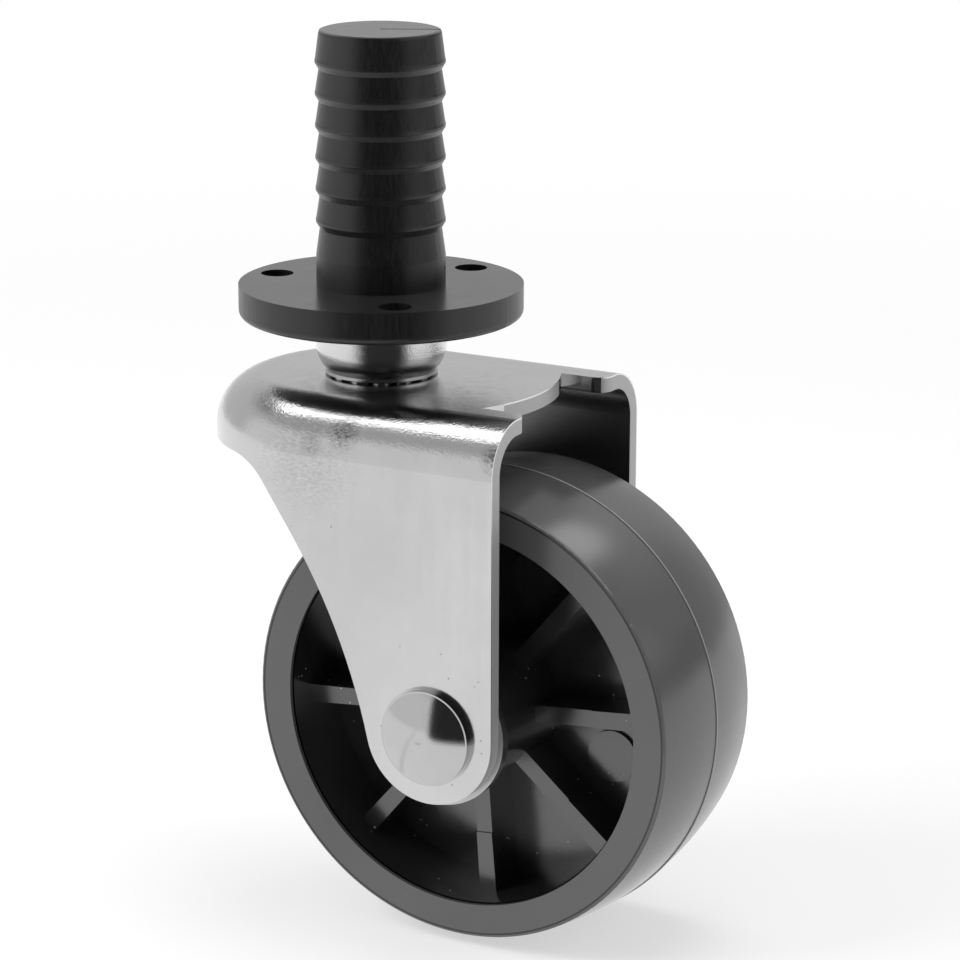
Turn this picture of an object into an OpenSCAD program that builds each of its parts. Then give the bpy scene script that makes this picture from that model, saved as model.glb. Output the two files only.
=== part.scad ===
// Stem castor with a barbed plastic socket, a pressed steel fork and a ribbed wheel.
// Millimetres. Z runs up the swivel axis, the origin is on the seating face of the
// socket's flange, X points back towards the axle, and the wheel turns about Y.

/* [Socket] */
// Diameter of the stem over the crests of its barbs
stem_d = 20.4; // [16:0.1:28]
// Height of the stem above the flange
stem_h = 40; // [37:0.5:60]
// Number of barbs up the stem
barb_n = 6; // [3:1:6]
// Distance from one barb to the next
barb_pitch = 5; // [4:0.1:5.6]
// How far each barb stands out of the stem
barb_depth = 0.6; // [0.2:0.05:1]
// Height of the slope under each barb's crest
barb_back = 1.2; // [0.8:0.1:2]
// Height of the lowest barb's crest above the flange
crest_low = 10.1; // [8:0.1:12]
// Height of the plain cylinder at the stem's foot
plain_h = 4.6; // [3:0.1:7]
// Diameter of the flange
flange_d = 45; // [42:0.5:60]
// Thickness of the flange
flange_t = 5.2; // [3.5:0.1:8]
// Radius of the flange's lower edge
flange_edge_r = 1.2; // [0.4:0.1:2]
// Number of screw holes in the flange
screw_n = 3; // [2:1:6]
// Diameter of the screw holes
screw_d = 5.2; // [3:0.1:6]
// Diameter of the circle of screw holes
screw_pcd = 36; // [32:0.5:38]
// Turn of the first screw hole from the X axis, in degrees
screw_turn = 67; // [0:1:120]
// Width of the slit in the stem's top
slit_w = 0.5; // [0.3:0.1:1]
// Depth of the slit in the stem's top
slit_depth = 2.7; // [1:0.1:3.5]
// Turn of the slit from the X axis, in degrees
slit_turn = 28; // [0:1:90]

/* [Swivel head] */
// Diameter of the king pin
pin_d = 9; // [7:0.1:10]
// Length of the king pin inside the socket, above the flange's top
pin_grip = 30; // [20:0.5:34]
// Diameter of the king pin's riveted head
pin_head_d = 14; // [12.5:0.1:16]
// Height of the king pin's riveted head
pin_head_h = 2.6; // [1.5:0.1:3.5]
// Diameter of the collar's upper band
collar_d = 20.8; // [19.5:0.1:26]
// Height of the collar
collar_h = 9; // [7.5:0.1:12]
// Height of the collar's upper band
collar_band_h = 5.2; // [3.5:0.1:6]
// Height of the lip at the collar's foot
collar_lip_h = 0.5; // [0.3:0.1:0.9]
// Wall of the collar outside its ball groove
collar_wall = 0.7; // [0.5:0.05:1.2]
// Diameter of the bearing balls
ball_d = 3.175; // [2.5:0.025:3.4]
// Number of balls above the fork's plate
upper_n = 12; // [11:1:13]
// Number of balls below the fork's plate
lower_n = 18; // [17:1:20]
// Space between neighbouring balls above the plate
upper_ball_gap = 0.28; // [0.1:0.02:0.4]
// Space between neighbouring balls below the plate
lower_ball_gap = 0.1; // [0.04:0.02:0.3]
// Running gap between the fork's plate and each race
race_gap = 0.3; // [0.2:0.05:0.6]
// Thickness of the lower race
race_t = 2.4; // [2:0.1:3]
// Wall of the lower race outside its ball groove
race_wall = 0.9; // [0.5:0.1:1.5]

/* [Fork] */
// Thickness of the fork's sheet steel
sheet = 2.5; // [2.2:0.1:3.2]
// Outer radius of the bend between the plate and the legs
bend_r = 8; // [5:0.25:10]
// Distance of the nose's centre in front of the swivel axis
nose_offset = 2; // [0:0.25:5]
// Depth of the skirt round the nose, from the plate's top
skirt_h = 10; // [9:0.25:14]
// Distance from the swivel axis forward to where the skirt turns into the leg
skirt_end = 10.5; // [6:0.25:13]
// Radius of the corner between the skirt and the leg
skirt_corner_r = 9; // [3:0.5:14]
// Radius of the sweep down the front of each leg
leg_sweep_r = 95; // [70:1:150]
// Radius of each leg's rounded end
leg_end_r = 11; // [10:0.1:13]
// Width of the notch in the rear of the plate
notch_w = 26; // [16:0.5:30]
// Distance from the swivel axis to the bottom of the notch
notch_r = 28.5; // [24:0.25:31]
// Radius of the two outer corners of the notch
notch_corner_r = 2.5; // [0.5:0.1:3]
// Space between the king pin and the fork's centre hole
pin_clear = 0.25; // [0.1:0.05:0.4]

/* [Axle] */
// Distance from the swivel axis back to the axle
trail = 22.2; // [18:0.1:28]
// Gap between the fork's plate and the top of the wheel
wheel_gap = 9.9; // [8:0.1:16]
// Diameter of the axle rivet's shank
rivet_d = 8; // [6:0.1:9]
// Diameter of the axle rivet's heads
rivet_head_d = 15.6; // [13:0.1:19]
// Height of the stepped rim of each head
rivet_rim_h = 1.3; // [0.8:0.1:2]
// Height of the dome on each head
rivet_dome_h = 1.8; // [1:0.1:3]
// Width of each of the two flat rings round a head
rivet_ledge = 0.25; // [0.1:0.05:0.6]
// Outer diameter of the axle tube that the wheel runs on
tube_d = 12; // [10.5:0.1:13]
// Diameter of the hub washers
washer_d = 23.6; // [20:0.1:25]
// Thickness of the hub washers
washer_t = 1.6; // [0.8:0.1:2]
// Space left round the axle rivet and in the washers' holes
axle_clear = 0.05; // [0.02:0.01:0.2]
// Side play of the wheel between each washer and the hub
side_play = 0.15; // [0.05:0.05:0.4]

/* [Wheel] */
// Diameter of the wheel over the middle of its tread
wheel_d = 75; // [72:0.5:100]
// Width of the tyre
tyre_w = 30.2; // [28:0.1:34]
// How much the tread falls from its middle to its shoulders
crown = 1.6; // [0.5:0.1:3]
// Radius of the tyre's shoulders
shoulder_round = 0.5; // [0.2:0.1:1.5]
// Width of the tyre's flat side ring
side_ring = 5.3; // [3:0.1:6.5]
// Thickness of the tyre over the rim
tyre_t = 4.2; // [3:0.1:5]
// Distance of the rim's edge inside the tyre's side face
rim_inset = 0.7; // [0.3:0.1:2]
// Thickness of the tyre's side wall over the rim's flank
tyre_wall = 2.4; // [1.5:0.1:4]
// Height of the moulding line round the tread
tread_line_h = 0.2; // [0.1:0.05:0.4]
// Length of the wheel's hub
hub_len = 40.5; // [38:0.1:46]
// Diameter of the hub at its ends
hub_d = 20; // [17:0.1:22]
// How much wider the hub is at the web
hub_draft = 2; // [0.5:0.1:4]
// Running clearance between the hub's bore and the axle tube
bore_clear = 0.06; // [0.03:0.01:0.1]
// Thickness of the web
web_t = 3; // [2:0.1:5]
// Thickness of the rim's wall
rim_t = 2.4; // [1.5:0.1:3]
// Number of ribs round the wheel
rib_n = 8; // [5:1:10]
// Thickness of the ribs
rib_t = 2.7; // [1.5:0.1:4]
// Height of the ribs, from one side of the wheel to the other
rib_h = 18; // [12:0.5:24]
// Height of the step in each rib's edge
rib_step = 0.25; // [0.1:0.05:0.6]
// Radius at which the ribs step up
rib_step_r = 20.6; // [16:0.1:24]
// Turn of the first rib from the X axis, in degrees
rib_turn = 4.5; // [0:0.5:44]
// Diameter of the round pads on the web
pad_d = 8.4; // [4:0.1:9]
// Height of the round pads on the web
pad_h = 0.6; // [0.2:0.1:1.5]
// Distance from the wheel's axis to the pads
pad_r = 21.6; // [19:0.1:23]

/* [Hidden] */
$fn = 96;
// Overrun of a cut past the face it starts from
over = 1;

// Socket
stem_r = stem_d / 2;
root_r = stem_r - barb_depth;
flange_r = flange_d / 2;
top_round = 0.5;
crest_flat = 0.2;
crest_round = 0.35;
screw_angles = [for (i = [0:screw_n - 1]) screw_turn + i * 360 / screw_n];

// Swivel head, from the flange down
pin_r = pin_d / 2;
ball_r = ball_d / 2;
groove_clear = 0.04;
groove_r = ball_r + groove_clear;
upper_pitch_r = upper_n * (ball_d + upper_ball_gap) / (2 * PI);
lower_pitch_r = lower_n * (ball_d + lower_ball_gap) / (2 * PI);
collar_top = -flange_t;
collar_foot = collar_top - collar_h;
plate_top = collar_foot - race_gap;
plate_under = plate_top - sheet;
race_top = plate_under - race_gap;
race_foot = race_top - race_t;
collar_r = collar_d / 2;
collar_foot_r = upper_pitch_r + groove_r + collar_wall;
collar_step = 0.2;
lip_step = 0.35;
race_r = lower_pitch_r + groove_r + race_wall;
// Height of each ball's centre off the plate's face
ball_rise = 0.5;
upper_ball_z = plate_top + ball_rise;
lower_ball_z = plate_under - ball_rise;

// Wheel, in its own radius and width
wheel_r = wheel_d / 2;
shoulder_r = wheel_r - crown;
ring_r = shoulder_r - side_ring;
rim_r = wheel_r - tyre_t;
rim_in_r = ring_r - rim_t;
bore_r = tube_d / 2 + bore_clear;
hub_r = hub_d / 2;
hub_root_r = hub_r + hub_draft / 2;
rim_w = tyre_w - 2 * rim_inset;
flank_w = tyre_w - 2 * tyre_wall;
crown_r = (pow(tyre_w / 2, 2) + pow(crown, 2)) / (2 * crown);
// How far the ribs and web run into the hub and rim that carry them
root_in = 0.6;
rib_angles = [for (i = [0:rib_n - 1]) rib_turn + i * 360 / rib_n];

// Fork
axle_z = plate_under - wheel_gap - wheel_r;
gap_w = hub_len + 2 * (side_play + washer_t);
fork_w = gap_w + 2 * sheet;
nose_x = -nose_offset;
rear_x = trail + leg_end_r;
skirt_z = plate_top - skirt_h;
shell_foot = axle_z - leg_end_r;
axle_pos = [trail, axle_z];
sweep_pos = meeting_point(axle_pos, leg_sweep_r + leg_end_r, [-skirt_end, skirt_z], leg_sweep_r);
sweep_touch = axle_pos + leg_end_r * unit(sweep_pos - axle_pos);
corner_pos = [
    sweep_pos.x + sqrt(pow(leg_sweep_r - skirt_corner_r, 2) - pow(skirt_z - skirt_corner_r - sweep_pos.y, 2)),
    skirt_z - skirt_corner_r
];

function unit(v) = v / norm(v);

// Where two circles cross, on the left of the way from a to b
function meeting_point(a, ra, b, rb) =
    let (
        d = norm(b - a),
        along = (ra * ra - rb * rb + d * d) / (2 * d),
        aside = sqrt(ra * ra - along * along),
        u = unit(b - a)
    )
    a + along * u + aside * [-u.y, u.x];

// Outline of one barb, from the top of its crest down to its root
function barb(crest) = [
    [stem_r - crest_round / 4, crest + crest_round + crest_flat],
    [stem_r, crest + crest_flat],
    [stem_r, crest - crest_flat],
    [stem_r - crest_round / 3, crest - crest_round],
    [root_r, crest - barb_back]
];

// Puts what is turned about Z onto the axle, with Z pointing to the near side
module on_axle() {
    translate([trail, 0, axle_z]) rotate([90, 0, 0]) children();
}

// The round channel that a ring of balls rolls in
module ball_groove(pitch_r, z) {
    translate([0, 0, z]) rotate_extrude() translate([pitch_r, 0]) circle(groove_r);
}

module stem_section() {
    top_crest = crest_low + (barb_n - 1) * barb_pitch;
    polygon(concat(
        [[0, -over], [0, stem_h], [root_r - top_round, stem_h], [root_r - top_round / 4, stem_h - top_round / 4],
         [root_r, stem_h - top_round]],
        [for (i = [0:barb_n - 1], p = barb(top_crest - i * barb_pitch)) p],
        [[stem_r, plain_h], [stem_r, -over]]
    ));
}

module flange_section() {
    difference() {
        translate([0, -flange_t]) square([flange_r, flange_t]);
        translate([flange_r - flange_edge_r, -flange_t]) difference() {
            translate([0, -over]) square([flange_edge_r + over, flange_edge_r + over]);
            translate([0, flange_edge_r]) circle(flange_edge_r);
        }
    }
}

module socket() {
    color("#1c1c1d") difference() {
        union() {
            rotate_extrude() stem_section();
            rotate_extrude() flange_section();
        }
        for (a = screw_angles)
            rotate(a) translate([screw_pcd / 2, 0, -flange_t - over])
                cylinder(d = screw_d, h = flange_t + 2 * over);
        translate([0, 0, -flange_t - over]) cylinder(r = pin_r, h = flange_t + over + pin_grip);
        rotate(slit_turn) translate([0, -slit_w / 2, stem_h - slit_depth])
            cube([stem_r + over, slit_w, slit_depth + over]);
    }
}

// A low dome of the given foot radius and height, standing on z = 0
module dome_section(foot_r, h) {
    r = (foot_r * foot_r + h * h) / (2 * h);
    intersection() {
        translate([0, h - r]) circle(r);
        square([foot_r, h]);
    }
}

module king_pin() {
    color("#b9bcbf") {
        translate([0, 0, race_foot]) cylinder(r = pin_r, h = pin_grip - race_foot);
        translate([0, 0, race_foot]) mirror([0, 0, 1]) rotate_extrude() dome_section(pin_head_d / 2, pin_head_h);
    }
}

module collar_section() {
    bowl_h = collar_h - collar_band_h - collar_lip_h;
    bowl_top_r = collar_r - collar_step;
    bowl_in = bowl_top_r - (collar_foot_r - lip_step);
    bowl_r = (bowl_in * bowl_in + bowl_h * bowl_h) / (2 * bowl_in);
    translate([0, collar_top - collar_band_h]) square([collar_r, collar_band_h]);
    intersection() {
        translate([bowl_top_r - bowl_r, collar_top - collar_band_h]) circle(bowl_r);
        translate([0, collar_foot + collar_lip_h]) square([collar_r, bowl_h]);
    }
    translate([0, collar_foot]) square([collar_foot_r, collar_lip_h]);
}

module swivel_collar() {
    color("#c9cccf") difference() {
        rotate_extrude() collar_section();
        translate([0, 0, collar_foot - over]) cylinder(r = pin_r, h = collar_h + 2 * over);
        ball_groove(upper_pitch_r, upper_ball_z);
    }
}

module lower_race() {
    color("#c9cccf") difference() {
        translate([0, 0, race_foot]) cylinder(r = race_r, h = race_t);
        translate([0, 0, race_foot - over]) cylinder(r = pin_r, h = race_t + 2 * over);
        ball_groove(lower_pitch_r, lower_ball_z);
    }
}

module upper_ball(i) {
    a = i * 360 / upper_n;
    color("#d8dadc") translate([upper_pitch_r * cos(a), upper_pitch_r * sin(a), upper_ball_z]) sphere(ball_r);
}

module lower_ball(i) {
    a = i * 360 / lower_n;
    color("#d8dadc") translate([lower_pitch_r * cos(a), lower_pitch_r * sin(a), lower_ball_z]) sphere(ball_r);
}

// Half of an upright section through the fork: a wall with a bent-over top
module half_arch(half_w, top, r, foot) {
    translate([0, foot]) square([half_w, top - r - foot]);
    translate([0, foot]) square([half_w - r, top - foot]);
    translate([half_w - r, top - r]) circle(r);
}

// The arch carried back from a half-round nose
module arch(half_w, top, r, rear, foot) {
    translate([nose_x, 0, 0]) {
        rotate(90) rotate_extrude(angle = 180) half_arch(half_w, top, r, foot);
        rotate([90, 0, 90]) linear_extrude(rear - nose_x) {
            half_arch(half_w, top, r, foot);
            mirror([1, 0]) half_arch(half_w, top, r, foot);
        }
    }
}

// What the side view leaves open in front: below the skirt, round the corner and down the sweep
module front_cut() {
    reach = leg_sweep_r + fork_w;
    to_touch = unit(corner_pos - sweep_pos);
    difference() {
        intersection() {
            translate(sweep_pos) circle(leg_sweep_r, $fn = 360);
            translate([sweep_pos.x, skirt_z - reach]) square([reach, reach]);
        }
        polygon([corner_pos, corner_pos + [0, reach], corner_pos + [reach, reach], corner_pos + reach * to_touch]);
    }
    translate(corner_pos) circle(skirt_corner_r);
}

// What the side view leaves open round each leg's end
module end_cut() {
    low = axle_z - 2 * leg_end_r;
    difference() {
        polygon([
            axle_pos, axle_pos + 2 * leg_end_r * unit(sweep_touch - axle_pos),
            [trail - 2 * leg_end_r, low], [rear_x + over, low], [rear_x + over, axle_z]
        ]);
        translate(axle_pos) circle(leg_end_r);
    }
}

// A cut straight through both legs
module through_legs() {
    rotate([90, 0, 0]) linear_extrude(fork_w + 2 * over, center = true) children();
}

// Plan of the notch in the rear of the plate, with its outer corners rounded off
module notch_plan() {
    difference() {
        translate([0, -notch_w / 2]) square([rear_x + over, notch_w]);
        circle(notch_r);
    }
    for (s = [-1, 1])
        translate([rear_x - notch_corner_r, s * (notch_w / 2 + notch_corner_r)])
            difference() {
                translate([0, s > 0 ? -notch_corner_r - over : 0])
                    square([notch_corner_r + over, notch_corner_r + over]);
                circle(notch_corner_r);
            }
}

module fork() {
    color("#c4c6c8") difference() {
        arch(fork_w / 2, plate_top, bend_r, rear_x, shell_foot);
        arch(gap_w / 2, plate_under, bend_r - sheet, rear_x + over, shell_foot - over);
        through_legs() front_cut();
        through_legs() end_cut();
        translate([0, 0, plate_under - over]) {
            linear_extrude(sheet + 2 * over) notch_plan();
            cylinder(r = pin_r + pin_clear, h = sheet + 2 * over);
        }
        ball_groove(upper_pitch_r, upper_ball_z);
        ball_groove(lower_pitch_r, lower_ball_z);
        on_axle() cylinder(d = rivet_d, h = fork_w + 2 * over, center = true);
    }
}

module rivet_head() {
    rim_r = rivet_head_d / 2;
    cylinder(r = rim_r, h = rivet_rim_h / 2);
    cylinder(r = rim_r - rivet_ledge, h = rivet_rim_h);
    translate([0, 0, rivet_rim_h]) rotate_extrude() dome_section(rim_r - 2 * rivet_ledge, rivet_dome_h);
}

module axle_rivet() {
    color("#d2d4d6") on_axle() {
        cylinder(d = rivet_d, h = fork_w, center = true);
        for (s = [0, 1])
            mirror([0, 0, s]) translate([0, 0, fork_w / 2]) rivet_head();
    }
}

module axle_tube() {
    color("#aeb1b4") on_axle() difference() {
        cylinder(d = tube_d, h = gap_w, center = true);
        cylinder(d = rivet_d + 2 * axle_clear, h = gap_w + 2 * over, center = true);
    }
}

module washer() {
    difference() {
        cylinder(d = washer_d, h = washer_t);
        translate([0, 0, -over]) cylinder(d = tube_d + 2 * axle_clear, h = washer_t + 2 * over);
    }
}

module near_washer() {
    color("#b4b7ba") on_axle() translate([0, 0, gap_w / 2 - washer_t]) washer();
}

module far_washer() {
    color("#b4b7ba") on_axle() translate([0, 0, -gap_w / 2]) washer();
}

// Section of the rim: a band under the tyre with a narrower lip beside it
module rim_section() {
    translate([rim_in_r, -rim_w / 2]) square([ring_r - rim_in_r, rim_w]);
    translate([rim_in_r, -flank_w / 2]) square([rim_r - rim_in_r, flank_w]);
}

module core_section() {
    polygon([[0, -hub_len / 2], [hub_r, -hub_len / 2], [hub_root_r, 0], [hub_r, hub_len / 2], [0, hub_len / 2]]);
    translate([hub_r - root_in, -web_t / 2]) square([rim_in_r + root_in - (hub_r - root_in), web_t]);
    rim_section();
}

// One rib, which crosses the web from side to side and steps up towards the rim
module rib() {
    translate([hub_r - root_in, -rib_t / 2, -rib_h / 2])
        cube([rim_in_r + root_in - (hub_r - root_in), rib_t, rib_h]);
    translate([rib_step_r, -rib_t / 2, -rib_h / 2 - rib_step])
        cube([rim_in_r + root_in - rib_step_r, rib_t, rib_h + 2 * rib_step]);
}

module wheel_core() {
    color("#161617") on_axle() difference() {
        union() {
            rotate_extrude() core_section();
            for (a = rib_angles) rotate(a) rib();
            for (i = [0:2:rib_n - 1])
                rotate(rib_angles[i] - 180 / rib_n) translate([pad_r, 0, 0])
                    cylinder(d = pad_d, h = web_t + 2 * pad_h, center = true);
        }
        cylinder(r = bore_r, h = hub_len + 2 * over, center = true);
    }
}

// What is taken off the corner between the tread and one side ring to round it
module shoulder_cut() {
    crown_pos = [wheel_r - crown_r, 0];
    side = tyre_w / 2 - shoulder_round;
    pos = [crown_pos.x + sqrt(pow(crown_r - shoulder_round, 2) - pow(side, 2)), side];
    reach = 2 * shoulder_round;
    difference() {
        polygon([pos, pos + [0, reach], pos + [reach, reach], pos + reach * unit(pos - crown_pos)]);
        translate(pos) circle(shoulder_round);
    }
}

module tyre() {
    color("#6d6e6f") on_axle() difference() {
        rotate_extrude() {
            intersection() {
                translate([wheel_r - crown_r, 0]) circle(crown_r, $fn = 360);
                translate([ring_r, -tyre_w / 2]) square([wheel_r - ring_r, tyre_w]);
            }
            translate([wheel_r, 0]) circle(tread_line_h, $fn = 24);
        }
        rotate_extrude() rim_section();
        for (s = [0, 1])
            mirror([0, 0, s]) rotate_extrude() shoulder_cut();
    }
}

socket();
king_pin();
swivel_collar();
lower_race();
fork();
axle_rivet();
axle_tube();
near_washer();
far_washer();
wheel_core();
tyre();
for (i = [1:upper_n]) upper_ball(i);
for (i = [1:lower_n]) lower_ball(i);
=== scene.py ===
# Stem castor: materials, fine detail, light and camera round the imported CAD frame
import math

import bpy
from mathutils import Matrix, Vector


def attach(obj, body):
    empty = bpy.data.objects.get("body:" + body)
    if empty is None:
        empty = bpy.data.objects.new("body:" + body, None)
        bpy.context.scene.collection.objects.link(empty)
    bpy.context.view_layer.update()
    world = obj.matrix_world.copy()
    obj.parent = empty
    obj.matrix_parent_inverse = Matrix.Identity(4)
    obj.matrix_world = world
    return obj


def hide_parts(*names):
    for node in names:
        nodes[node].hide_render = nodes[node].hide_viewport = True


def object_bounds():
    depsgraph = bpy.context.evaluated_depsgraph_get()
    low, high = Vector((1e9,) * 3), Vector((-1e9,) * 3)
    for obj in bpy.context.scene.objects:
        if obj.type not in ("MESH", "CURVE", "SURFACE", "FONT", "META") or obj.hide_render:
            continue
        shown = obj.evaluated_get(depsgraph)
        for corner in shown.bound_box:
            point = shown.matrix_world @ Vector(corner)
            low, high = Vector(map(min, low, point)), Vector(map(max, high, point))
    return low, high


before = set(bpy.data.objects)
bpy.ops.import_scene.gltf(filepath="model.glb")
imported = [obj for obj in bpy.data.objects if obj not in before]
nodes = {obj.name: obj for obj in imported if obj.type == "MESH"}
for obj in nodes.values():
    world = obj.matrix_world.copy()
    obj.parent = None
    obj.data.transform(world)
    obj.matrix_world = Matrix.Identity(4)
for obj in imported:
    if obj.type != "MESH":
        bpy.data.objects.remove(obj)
cad_low, cad_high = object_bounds()
scene = bpy.context.scene

# Camera, as fitted to the photograph. It looks at a point to the right of the swivel axis and under the flange.
AZIMUTH = math.radians(28.676)
ELEVATION = math.radians(15.358)
ROLL = math.radians(0.150)
DISTANCE = 0.58397
TARGET_RIGHT = 0.015653
TARGET_UP = -0.032309
FOCAL_PX = 3650.98
IMAGE_PX = 960
SENSOR_MM = 36.0
CLIP_NEAR = 0.01
CLIP_FAR = 50

# Centre of the fork's round nose, in metres like all places below
NOSE_X = -0.002
# Centre line of the bend between the fork's plate and its legs
BEND_Y = 0.0165
BEND_Z = -0.0225
# Distances from that line: less than the first is the sheet's inner side, more than the second a cut's corner
INNER_BEND = 0.0058
OUTER_BEND = 0.00775
# Widths in which the bend's uneven surface fades out towards the plate and towards the legs
BEND_FADE_OUT = 0.0015
BEND_FADE_UP = 0.003
# The cut edges of the legs lie outside the first and under the second, those of the plate behind the third
LEG_INSIDE = 0.0215
LEG_TOP = BEND_Z - 0.001
NOTCH_X = 0.027
# Parts of a normal that tell the cut edges from the sheet's faces
FLANK_FACING = 0.2
REAR_FACING = 0.6
# Part of a normal above which a face of the socket counts as a top face, which is glossier and gets a lighter
# tone as painted light
TOP_FACING = 0.7

# Axle, and radii and distances from the middle plane that belong to the wheel
AXLE_X = 0.0222
AXLE_Z = -0.0644
TYRE_FACE = 0.0149
RING_EDGE = 0.03538
RING_EDGE_HALF = 0.00015
SEAM_HALF = 0.00018
LIP_R = 0.0302
LIP_Y = 0.0143
# Wall of the core's recess: where the CAD node has it, the width of the search for it, and where it is shown
RECESS_R = 0.0282
RECESS_MARGIN = 0.0003
OPEN_R = 0.03035

# Range in which most of a noise texture lies
NOISE_LOW = 0.3
NOISE_HIGH = 0.7

# Tone, roughness and depth of the grain of each plated or polished steel
PLATED = (0.54, 0.16, 0.2)
POLISHED = (0.46, 0.1, 0.14)
TURNED = (0.62, 0.12, 0.7)
DULL = (0.45, 0.3, 0.3)
BALL_STEEL = (0.7, 0.08, 0.02)
# Fork: the cut edges with a painted highlight on their outer corner, the inner side with painted shade, the
# pits, and the uneven surface on the bend
CUT_TONE = 0.38
CUT_ROUGHNESS = 0.45
CUT_METALLIC = 0.4
# Painted highlight along the cut's outer corner, standing in for a rounded edge that catches the light
CORNER_HIGHLIGHT_TONE = 0.8
# Painted shade on the sheet's inner side, which faces the wheel; its roughness is the sheet's own
INSIDE_SHADE_SHARE = 0.35
INSIDE_ROUGHNESS = 0.3
PIT_SHARE = 0.6
PEEL_HEIGHT = 4.5
CLOUD_HEIGHT = 2.0
# Darker patches on the fork: centre, radius, scale of the grain, and share of the tone that is left
DARK_PATCHES = (
    ((0.0068, -0.0234, -0.0186), 0.0036, 2600.0, 0.12),
    ((0.0015, -0.0243, -0.0205), 0.0028, 2600.0, 0.3),
    ((0.0, -0.0245, -0.0235), 0.012, 1800.0, 0.78),
    ((0.0337, -0.0238, -0.0190), 0.0034, 1800.0, 0.15),
)
# Share of a patch's radius inside which it is at its strongest
DARK_PATCH_CORE = 0.2
# Wheel: the core's specks and the painted shade on its rim face, the tyre's moulding line, the painted shade at
# its ring edge, its tread and ring
SPECK_TONE = 0.35
LIP_SHADE_TONE = 0.006
SEAM_TONE = 0.26
RING_EDGE_SHADE_TONE = 0.02
TREAD_SHARE = 0.88
RING_SHARE = 1.03

# Light on the object that isn't mirrored
AMBIENT = 0.45
# Tones of the studio that reflections show
WALL_TONE = 0.7
WALL_RIGHT_TONE = 0.4
FAR_RIGHT_TONE = 0.95
DARK_PANEL_TONE = 0.08
UPPER_WALL_TONE = 0.26
FRONT_LEFT_TONE = 0.95
FRONT_LEFT_UPPER_TONE = 0.56
CAMERA_SIDE_TONE = 0.035
STRIP_TONE = 3.0
LAMP_TONE = 4.0
# Directions of the lamp, of the table's dark part, and across its streak
LAMP_WAY = (0.2, 0.64, 0.742)
DARK_WAY = (0.528, -0.849, 0.0)
STREAK_ACROSS = (0.906, -0.423, 0.0)
# Middle of the strip light, by the Y part of the direction
STRIP_Y = 0.03
# Softboxes: name, place, size and power in watts, all aimed at one point
SOFTBOXES = (
    ("key", (-0.55, -0.55, 0.6), (0.5, 0.5), 5),
    ("fill", (0.8, 0.1, 0.35), (0.4, 0.7), 1.2),
    ("top", (0.1, 0.1, 0.9), (0.6, 0.4), 3),
)
LIGHT_AIM = (0.005, 0, -0.035)

# Floor and table lie just under the tyre, and reach this far
FLOOR_Z = cad_low.z - 0.0001
FLOOR_REACH = 20
TABLE_REACH = 1.5
TABLE_FRONT = -0.32
# Floor near the object, where it takes the shadow: base colour and glow. Further out it only glows, as white.
FLOOR_TONE = 0.5
FLOOR_GLOW = 0.53
TABLE_TONE = 1.15
TABLE_STREAK_SHARE = 0.8
TABLE_DARK_TONE = 0.03


def make_camera():
    ca, sa = math.cos(AZIMUTH), math.sin(AZIMUTH)
    ce, se = math.cos(ELEVATION), math.sin(ELEVATION)
    back = Vector((sa * ce, -ca * ce, se))
    level_right = Vector((ca, sa, 0))
    level_up = level_right.cross(-back)
    right = math.cos(ROLL) * level_right + math.sin(ROLL) * level_up
    up = math.cos(ROLL) * level_up - math.sin(ROLL) * level_right
    eye = Vector((TARGET_RIGHT * ca, TARGET_RIGHT * sa, TARGET_UP)) + DISTANCE * back
    data = bpy.data.cameras.new("camera")
    data.sensor_fit = "HORIZONTAL"
    data.sensor_width = SENSOR_MM
    data.lens = FOCAL_PX / IMAGE_PX * SENSOR_MM
    data.clip_start = CLIP_NEAR
    data.clip_end = CLIP_FAR
    cam = bpy.data.objects.new("camera", data)
    m = Matrix((right, up, back)).transposed().to_4x4()
    m.translation = eye
    cam.matrix_world = m
    scene.collection.objects.link(cam)
    scene.camera = cam


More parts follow.
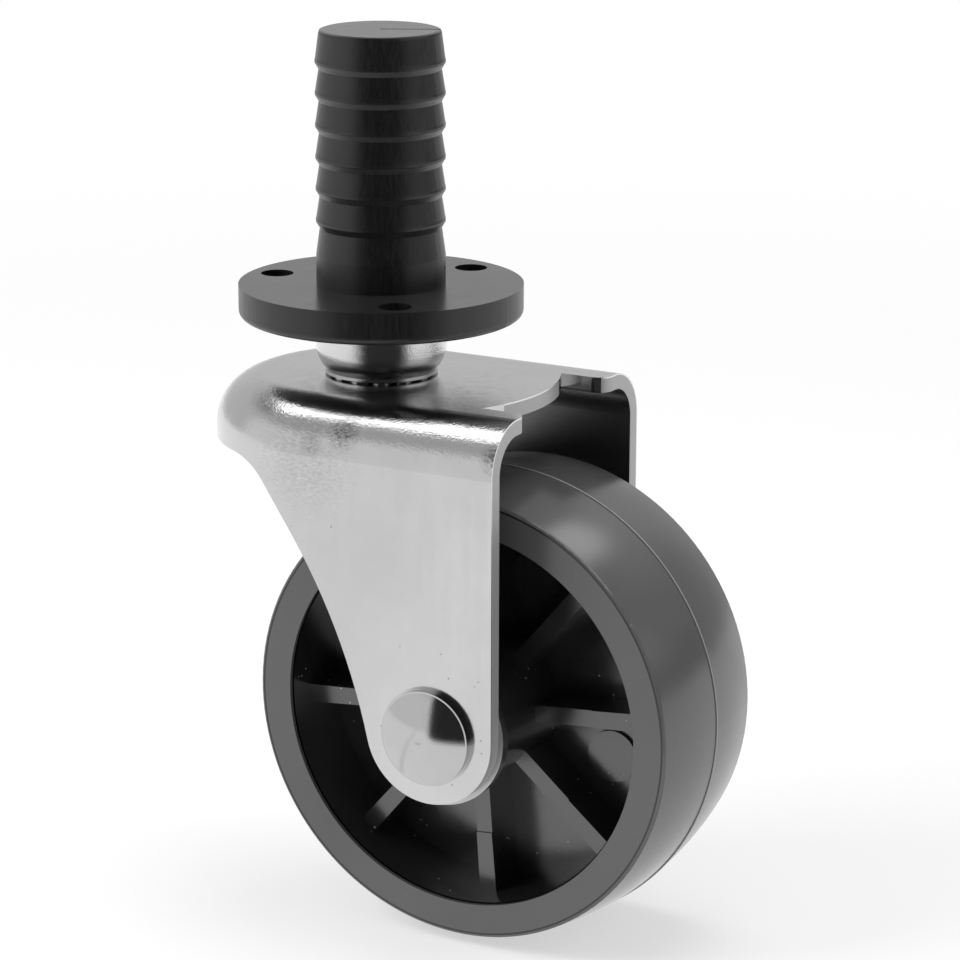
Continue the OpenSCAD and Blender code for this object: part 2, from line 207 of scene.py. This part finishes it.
class Graph:
    """Adds nodes to a node tree, with links given as inputs."""

    def __init__(self, tree):
        self.tree = tree

    def add(self, kind, inputs=None, **settings):
        node = self.tree.nodes.new("ShaderNode" + kind)
        for key, value in settings.items():
            setattr(node, key, value)
        for key, value in (inputs or {}).items():
            self.put(node.inputs[key], value)
        return node

    def put(self, socket, value):
        if isinstance(value, bpy.types.NodeSocket):
            self.tree.links.new(value, socket)
        else:
            socket.default_value = value

    def place(self):
        return self.add("TexCoord").outputs["Object"]

    def facing(self):
        return self.xyz(self.add("TexCoord").outputs["Normal"])

    def xyz(self, vector):
        return self.add("SeparateXYZ", {"Vector": vector}).outputs

    def noise(self, vector, scale, detail=2.0, rough=0.5, stretch=None):
        if stretch:
            vector = self.add("Mapping", {"Vector": vector, "Scale": stretch}).outputs["Vector"]
        inputs = {"Vector": vector, "Scale": scale, "Detail": detail, "Roughness": rough}
        return self.add("TexNoise", inputs).outputs["Fac"]

    def dots(self, vector, scale, radius):
        """1 inside small dots, one in each cell of a Voronoi pattern."""
        distance = self.add("TexVoronoi", {"Vector": vector, "Scale": scale}).outputs["Distance"]
        return self.below(distance, radius)

    def span(self, value, a, b, low=0.0, high=1.0, soft=False):
        """The value's way from a to b, turned into one from low to high."""
        inputs = {"Value": value, "From Min": a, "From Max": b, "To Min": low, "To Max": high}
        kind = "SMOOTHSTEP" if soft else "LINEAR"
        return self.add("MapRange", inputs, interpolation_type=kind).outputs["Result"]

    def fade(self, value, a, b, high=1.0):
        return self.span(value, a, b, 0.0, high, soft=True)

    def vary(self, noise, low, high):
        return self.span(noise, NOISE_LOW, NOISE_HIGH, low, high)

    def math(self, operation, a, b=0.0, c=0.0):
        return self.add("Math", {0: a, 1: b, 2: c}, operation=operation).outputs["Value"]

    def times(self, a, b):
        return self.math("MULTIPLY", a, b)

    def plus(self, a, b):
        return self.math("ADD", a, b)

    def minus(self, a, b):
        return self.math("SUBTRACT", a, b)

    def above(self, value, limit):
        return self.math("GREATER_THAN", value, limit)

    def below(self, value, limit):
        return self.math("LESS_THAN", value, limit)

    def size(self, value):
        return self.math("ABSOLUTE", value)

    def hypot(self, a, b):
        return self.math("SQRT", self.plus(self.times(a, a), self.times(b, b)))

    def mix(self, share, a, b):
        return self.add("Mix", {"Factor": share, "A": a, "B": b}).outputs["Result"]

    def dot(self, a, b):
        return self.add("VectorMath", {0: a, 1: b}, operation="DOT_PRODUCT").outputs["Value"]

    def length(self, vector):
        return self.add("VectorMath", {0: vector}, operation="LENGTH").outputs["Value"]

    def grey(self, value):
        return self.add("CombineColor", {"Red": value, "Green": value, "Blue": value}).outputs["Color"]

    def bump(self, height, strength, distance):
        inputs = {"Height": height, "Strength": strength, "Distance": distance}
        return self.add("Bump", inputs).outputs["Normal"]


class Nodes(Graph):
    """A new material, with its node tree to build on."""

    def __init__(self, name):
        self.material = bpy.data.materials.new(name)
        self.material.use_nodes = True
        super().__init__(self.material.node_tree)
        self.shader = self.tree.nodes["Principled BSDF"]

    def set(self, **inputs):
        for key, value in inputs.items():
            self.put(self.shader.inputs[key.replace("_", " ")], value)


def grey(value):
    return (value, value, value, 1)


def fork_masks(n, place):
    """Where the fork's sheet is cut, the outer corner of the cut that gets a painted highlight, where it faces
    the wheel and gets painted shade, and the bend.
    """
    at = n.xyz(place)
    x, y, z = at["X"], at["Y"], at["Z"]
    facing = n.facing()
    flank = n.below(n.size(facing["Y"]), FLANK_FACING)
    leg = n.times(n.above(n.size(y), LEG_INSIDE), n.below(z, LEG_TOP))
    rear = n.times(n.above(facing["X"], REAR_FACING), n.above(x, NOTCH_X))
    cut = n.math("MAXIMUM", n.times(flank, leg), rear)
    ahead = n.math("MINIMUM", n.minus(x, NOSE_X), 0.0)
    out = n.math("MAXIMUM", n.minus(n.hypot(ahead, y), BEND_Y), 0.0)
    up = n.math("MAXIMUM", n.minus(z, BEND_Z), 0.0)
    depth = n.hypot(out, up)
    inside = n.below(depth, INNER_BEND)
    corner = n.times(cut, n.above(depth, OUTER_BEND))
    bend = n.times(n.fade(out, 0.0, BEND_FADE_OUT), n.fade(up, 0.0, BEND_FADE_UP))
    return cut, corner, inside, bend


def dark_patch(n, place, centre, radius, grain):
    """A darker patch round a point, broken up by fine streaks."""
    away = n.add("VectorMath", {0: place, 1: centre}, operation="DISTANCE").outputs["Value"]
    streaks = n.noise(place, scale=grain, detail=4, rough=0.8, stretch=(0.6, 1, 1.3))
    return n.times(n.fade(away, radius, radius * DARK_PATCH_CORE), n.span(streaks, 0.4, 0.62))


def pressed_sheet(n, place, tone, tone_now, rough_now):
    """The fork's plating: what the pressing, the cutting and its use change, darker patches, painted shade on
    the inner side and a painted highlight on the cut's outer corner.
    """
    cut, corner, inside, bend = fork_masks(n, place)
    pits = n.times(n.dots(place, scale=420.0, radius=0.07), n.above(n.noise(place, scale=150), 0.55))
    tone_now = n.mix(pits, tone_now, tone * PIT_SHARE)
    for centre, radius, grain, left in DARK_PATCHES:
        tone_now = n.mix(dark_patch(n, place, centre, radius, grain), tone_now, tone * left)
    # The inner side is darkened as painted shade, and the cut edges take their own tone
    tone_now = n.mix(cut, n.mix(inside, tone_now, tone * INSIDE_SHADE_SHARE), CUT_TONE)
    # Painted highlight on the cut's outer corner
    tone_now = n.mix(corner, tone_now, CORNER_HIGHLIGHT_TONE)
    rough_now = n.mix(cut, n.mix(inside, rough_now, INSIDE_ROUGHNESS), CUT_ROUGHNESS)
    metal = n.mix(n.minus(cut, corner), 1.0, CUT_METALLIC)
    peel = n.times(n.noise(place, scale=2300, detail=2, rough=0.6), n.times(bend, PEEL_HEIGHT))
    return tone_now, rough_now, metal, peel


def steel(name, tone, rough, grain, pressed=False):
    n = Nodes(name)
    p = n.place()
    cloud = n.noise(p, scale=60, detail=4, rough=0.6)
    relief = n.noise(p, scale=3200, detail=3, rough=0.7)
    scratch = n.noise(p, scale=500, detail=3, rough=0.7, stretch=(1, 1, 0.12))
    tone_now = n.vary(cloud, tone * 0.95, tone * 1.04)
    rough_now = n.span(scratch, 0.35, 0.7, rough * 0.8, rough * 1.35)
    metal = 1.0
    if pressed:
        tone_now, rough_now, metal, peel = pressed_sheet(n, p, tone, tone_now, rough_now)
        relief = n.plus(relief, peel)
    relief = n.plus(relief, n.times(cloud, CLOUD_HEIGHT))
    n.set(Base_Color=n.grey(tone_now), Metallic=metal, Roughness=rough_now)
    n.set(Normal=n.bump(relief, strength=grain, distance=0.00006))
    return n.material


def black_plastic():
    """Matt sides with drawn streaks, and glossier top faces with a lighter tone that is painted light."""
    n = Nodes("matt_black_plastic")
    p = n.place()
    cloud = n.noise(p, scale=90, detail=4, rough=0.6)
    fine = n.noise(p, scale=4200, detail=2, rough=0.6)
    drawn = n.noise(p, scale=2200, detail=3, rough=0.7, stretch=(1, 1, 0.06))
    top = n.above(n.facing()["Z"], TOP_FACING)
    side_tone = n.times(n.vary(cloud, 0.004, 0.007), n.span(drawn, 0.35, 0.65, 0.7, 1.4))
    # Top faces get a lighter tone: painted light, as if they caught the light from above
    painted_top_light = n.vary(cloud, 0.016, 0.024)
    side_roughness = n.vary(drawn, 0.32, 0.44)
    top_roughness = n.vary(cloud, 0.19, 0.25)
    n.set(Base_Color=n.grey(n.mix(top, side_tone, painted_top_light)), Specular_IOR_Level=0.55)
    n.set(Roughness=n.mix(top, side_roughness, top_roughness))
    n.set(Normal=n.bump(n.plus(fine, drawn), strength=0.18, distance=0.00004))
    return n.material


def axle_distance(n, place):
    at = n.xyz(place)
    return n.hypot(n.minus(at["X"], AXLE_X), n.minus(at["Z"], AXLE_Z))


def off_middle(n, place):
    return n.size(n.xyz(place)["Y"])


def wheel_plastic():
    """Glossy black with small specks, and painted shade on the rim face, which is near black and mirror-like.
    """
    n = Nodes("gloss_black_plastic")
    p = n.place()
    cloud = n.noise(p, scale=110, detail=4, rough=0.6)
    specks = n.times(n.dots(p, scale=700.0, radius=0.1), n.above(n.noise(p, scale=130), 0.6))
    # The rim face of the core is painted shade: a near black mirror
    shaded_lip = n.times(n.above(axle_distance(n, p), LIP_R), n.above(off_middle(n, p), LIP_Y))
    tone = n.plus(n.vary(cloud, 0.011, 0.019), n.times(specks, SPECK_TONE))
    n.set(Base_Color=n.grey(n.mix(shaded_lip, tone, LIP_SHADE_TONE)), Metallic=shaded_lip)
    n.set(Specular_IOR_Level=1.0, IOR=1.6, Roughness=n.vary(cloud, 0.16, 0.26))
    n.set(Normal=n.bump(n.noise(p, scale=900, detail=3, rough=0.6), strength=0.08, distance=0.00005))
    return n.material


def tyre_rubber():
    """Soft grey with a light moulding line, and a thin dark line of painted shade round the edge of each side
    ring.
    """
    n = Nodes("grey_tyre_rubber")
    p = n.place()
    cloud = n.noise(p, scale=45, detail=4, rough=0.6)
    fine = n.noise(p, scale=3000, detail=3, rough=0.6)
    side = off_middle(n, p)
    seam = n.below(side, SEAM_HALF)
    face = n.above(side, TYRE_FACE)
    # A thin dark line of painted shade where each side ring meets the shoulder
    edge = n.times(face, n.math("COMPARE", axle_distance(n, p), RING_EDGE, RING_EDGE_HALF))
    tone = n.times(n.vary(cloud, 0.088, 0.1), n.span(face, 0.0, 1.0, TREAD_SHARE, RING_SHARE))
    n.set(Base_Color=n.grey(n.mix(seam, n.mix(edge, tone, RING_EDGE_SHADE_TONE), SEAM_TONE)))
    n.set(Roughness=n.vary(cloud, 0.2, 0.28))
    n.set(Normal=n.bump(fine, strength=0.06, distance=0.00003))
    return n.material


def dress():
    dull = steel("dull_zinc", *DULL)
    balls = steel("polished_steel", *BALL_STEEL)
    look = {
        "socket": black_plastic(),
        "wheel_core": wheel_plastic(),
        "tyre": tyre_rubber(),
        "fork": steel("bright_zinc", *PLATED, pressed=True),
        "swivel_collar": steel("turned_zinc", *TURNED),
        "axle_rivet": steel("polished_zinc", *POLISHED),
    }
    for name in ("king_pin", "lower_race", "axle_tube", "near_washer", "far_washer"):
        look[name] = dull
    for name, obj in nodes.items():
        obj.data.materials.clear()
        obj.data.materials.append(look.get(name, balls))


def open_wheel_core():
    """The wheel core with a recess as wide as the ring's opening, in place of the node with a narrower one."""
    mesh = nodes["wheel_core"].data.copy()
    for vertex in mesh.vertices:
        x, z = vertex.co.x - AXLE_X, vertex.co.z - AXLE_Z
        away = math.hypot(x, z)
        if abs(away - RECESS_R) < RECESS_MARGIN:
            vertex.co.x = AXLE_X + x * OPEN_R / away
            vertex.co.z = AXLE_Z + z * OPEN_R / away
    piece = bpy.data.objects.new("wheel_core_open", mesh)
    scene.collection.objects.link(piece)
    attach(piece, "wheel_body")
    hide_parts("wheel_core")


def softbox(name, place, size, power):
    """An area light that shades the object, but shows in no reflection."""
    data = bpy.data.lights.new(name, "AREA")
    data.shape = "RECTANGLE"
    data.size, data.size_y = size
    data.energy = power
    lamp = bpy.data.objects.new(name, data)
    lamp.location = place
    lamp.rotation_euler = (Vector(LIGHT_AIM) - Vector(place)).to_track_quat("-Z", "Y").to_euler()
    lamp.visible_glossy = False
    scene.collection.objects.link(lamp)


def studio_tone(g):
    """Brightness by direction: pale walls, a dark camera side, a strip light overhead and a lamp."""
    direction = g.add("TexCoord").outputs["Generated"]
    way = g.xyz(direction)
    x, y, z = way["X"], way["Y"], way["Z"]

    to_right = g.fade(x, 0.0, 0.3)
    far_right = g.fade(x, 0.66, 0.74)
    panel = g.times(g.fade(x, 0.45, 0.6), g.fade(z, 0.22, 0.12))
    upper_wall = g.fade(z, 0.52, 0.64)
    wall = g.mix(far_right, g.mix(to_right, WALL_TONE, WALL_RIGHT_TONE), FAR_RIGHT_TONE)
    wall = g.mix(upper_wall, g.mix(panel, wall, DARK_PANEL_TONE), UPPER_WALL_TONE)

    upper_front = g.fade(z, 0.42, 0.55)
    front_left = g.fade(x, -0.22, -0.30)
    left = g.mix(upper_front, FRONT_LEFT_TONE, FRONT_LEFT_UPPER_TONE)
    front = g.mix(front_left, CAMERA_SIDE_TONE, left)
    tone = g.mix(g.fade(y, -0.30, -0.12), front, wall)

    overhead = g.fade(z, 0.72, 0.80)
    strip = g.times(overhead, g.fade(g.size(g.minus(y, STRIP_Y)), 0.32, 0.22))
    near_lamp = g.dot(direction, LAMP_WAY)
    glow = g.fade(near_lamp, 0.86, 0.97, high=0.1)
    lamp = g.plus(glow, g.fade(near_lamp, 0.982, 0.994, high=0.9))
    return g.mix(lamp, g.mix(strip, tone, STRIP_TONE), LAMP_TONE)


def make_world():
    """White for the camera, an even light on the object, and the studio in its reflections."""
    world = bpy.data.worlds.new("studio")
    scene.world = world
    world.use_nodes = True
    g = Graph(world.node_tree)
    g.tree.nodes.clear()
    path = g.add("LightPath").outputs
    mirrored = g.math("MAXIMUM", path["Is Glossy Ray"], path["Is Transmission Ray"])
    lit = g.mix(mirrored, AMBIENT, studio_tone(g))
    strength = g.mix(path["Is Camera Ray"], lit, 1.0)
    shader = g.add("Background", {"Color": grey(1), "Strength": strength})
    out = g.add("OutputWorld")
    g.tree.links.new(shader.outputs[0], out.inputs[0])


def plane(name, corner, far_corner):
    x0, y0 = corner
    x1, y1 = far_corner
    z = FLOOR_Z
    mesh = bpy.data.meshes.new(name)
    mesh.from_pydata([(x0, y0, z), (x1, y0, z), (x1, y1, z), (x0, y1, z)], [], [(0, 1, 2, 3)])
    obj = bpy.data.objects.new(name, mesh)
    scene.collection.objects.link(obj)
    return obj


def make_floor():
    """The pale floor, which keeps the shadow."""
    floor = plane("floor", (-FLOOR_REACH, -FLOOR_REACH), (FLOOR_REACH, FLOOR_REACH))
    n = Nodes("pale_floor")
    far = n.fade(n.length(n.place()), 0.2, 0.7)
    n.set(Base_Color=n.grey(n.mix(far, FLOOR_TONE, 0.0)), Roughness=1.0, Specular_IOR_Level=0.0)
    n.set(Emission_Color=grey(1), Emission_Strength=n.mix(far, FLOOR_GLOW, 1.0))
    floor.data.materials.append(n.material)
    floor.visible_glossy = False


def make_table():
    """The lit table that only reflections show, with a dark part and a soft streak."""
    table = plane("table", (-TABLE_REACH, TABLE_FRONT), (TABLE_REACH, TABLE_REACH))
    n = Nodes("lit_table")
    place = n.place()
    way = n.add("VectorMath", {0: place}, operation="NORMALIZE").outputs["Vector"]
    dark = n.times(n.fade(n.dot(way, DARK_WAY), 0.66, 0.75), n.fade(n.length(place), 0.16, 0.22))
    streak = n.fade(n.size(n.dot(way, STREAK_ACROSS)), 0.03, 0.01)
    lit = n.mix(streak, TABLE_TONE, TABLE_TONE * TABLE_STREAK_SHARE)
    n.set(Base_Color=grey(0), Roughness=1.0, Specular_IOR_Level=0.0)
    n.set(Emission_Color=grey(1), Emission_Strength=n.mix(dark, lit, TABLE_DARK_TONE))
    table.data.materials.append(n.material)
    table.visible_camera = False
    table.visible_diffuse = False
    table.visible_shadow = False


make_camera()
dress()
open_wheel_core()
make_world()
make_floor()
make_table()
for box in SOFTBOXES:
    softbox(*box)
scene.view_settings.view_transform = "Standard"
